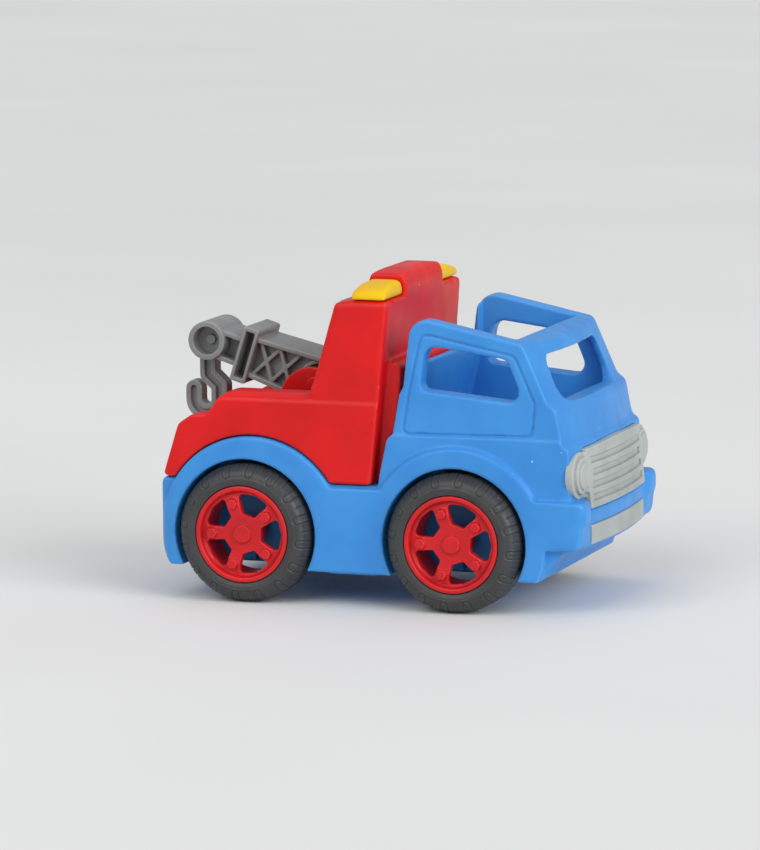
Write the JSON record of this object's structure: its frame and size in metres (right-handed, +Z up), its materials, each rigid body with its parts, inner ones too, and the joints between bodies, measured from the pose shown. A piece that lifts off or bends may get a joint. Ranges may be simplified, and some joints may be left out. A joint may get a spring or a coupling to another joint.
{
  "type": "toy tow truck",
  "caption": "Toy tow truck with an open cab, a red bed and light arch, a lattice boom that lifts, a swinging hook and free-rolling wheels.",
  "frame": {"origin": "on the ground under the middle of the model's bounding box", "axes": "+X forwards, +Y to the driver's left, +Z up"},
  "size_m": [0.2296, 0.1318, 0.163],
  "materials": {
    "blue_plastic": "satin moulded polyethylene",
    "red_plastic": "satin moulded polyethylene",
    "rim_red": "satin",
    "yellow_plastic": "semi-gloss",
    "boom_grey": "satin",
    "trim_grey": "satin",
    "tyre_black": "soft satin",
    "steel": "zinc plated"
  },
  "bodies": {
    "chassis": {"cab_body": "blue_plastic", "base_plate": "blue_plastic", "rear_body": "red_plastic", "boom_bracket": "red_plastic", "beacon_left": "yellow_plastic", "beacon_right": "yellow_plastic", "grille": "trim_grey", "bumper_plate": "trim_grey", "boom_pin": "boom_grey", "base_screws": "steel", "body_screws": "steel", "bracket_screws": "steel"},
    "boom": {"boom": "boom_grey", "hook_pin": "boom_grey"},
    "hook": {"hook": "boom_grey"},
    "wheelset_rear": {"axle_rear": "steel", "rim_rear_left": "rim_red", "rim_rear_right": "rim_red", "tyre_rear_left": "tyre_black", "tyre_rear_right": "tyre_black"},
    "wheelset_front": {"axle_front": "steel", "rim_front_left": "rim_red", "rim_front_right": "rim_red", "tyre_front_left": "tyre_black", "tyre_front_right": "tyre_black"}
  },
  "joints": [
    {"name": "boom_lift", "type": "hinge", "parent": "chassis", "child": "boom", "pos_m": [-0.0405, 0, 0.104], "axis": [0, 1, 0], "range_deg": [-10, 45]},
    {"name": "hook_swing", "type": "hinge", "parent": "boom", "child": "hook", "pos_m": [-0.09963, 0, 0.12264], "axis": [0, 1, 0], "range_deg": [-12, 60]},
    {"name": "rear_axle_spin", "type": "hinge", "parent": "chassis", "child": "wheelset_rear", "pos_m": [-0.0626, 0, 0.0345], "axis": [0, 1, 0], "continuous": true},
    {"name": "front_axle_spin", "type": "hinge", "parent": "chassis", "child": "wheelset_front", "pos_m": [0.046, 0, 0.0345], "axis": [0, 1, 0], "continuous": true}
  ]
}
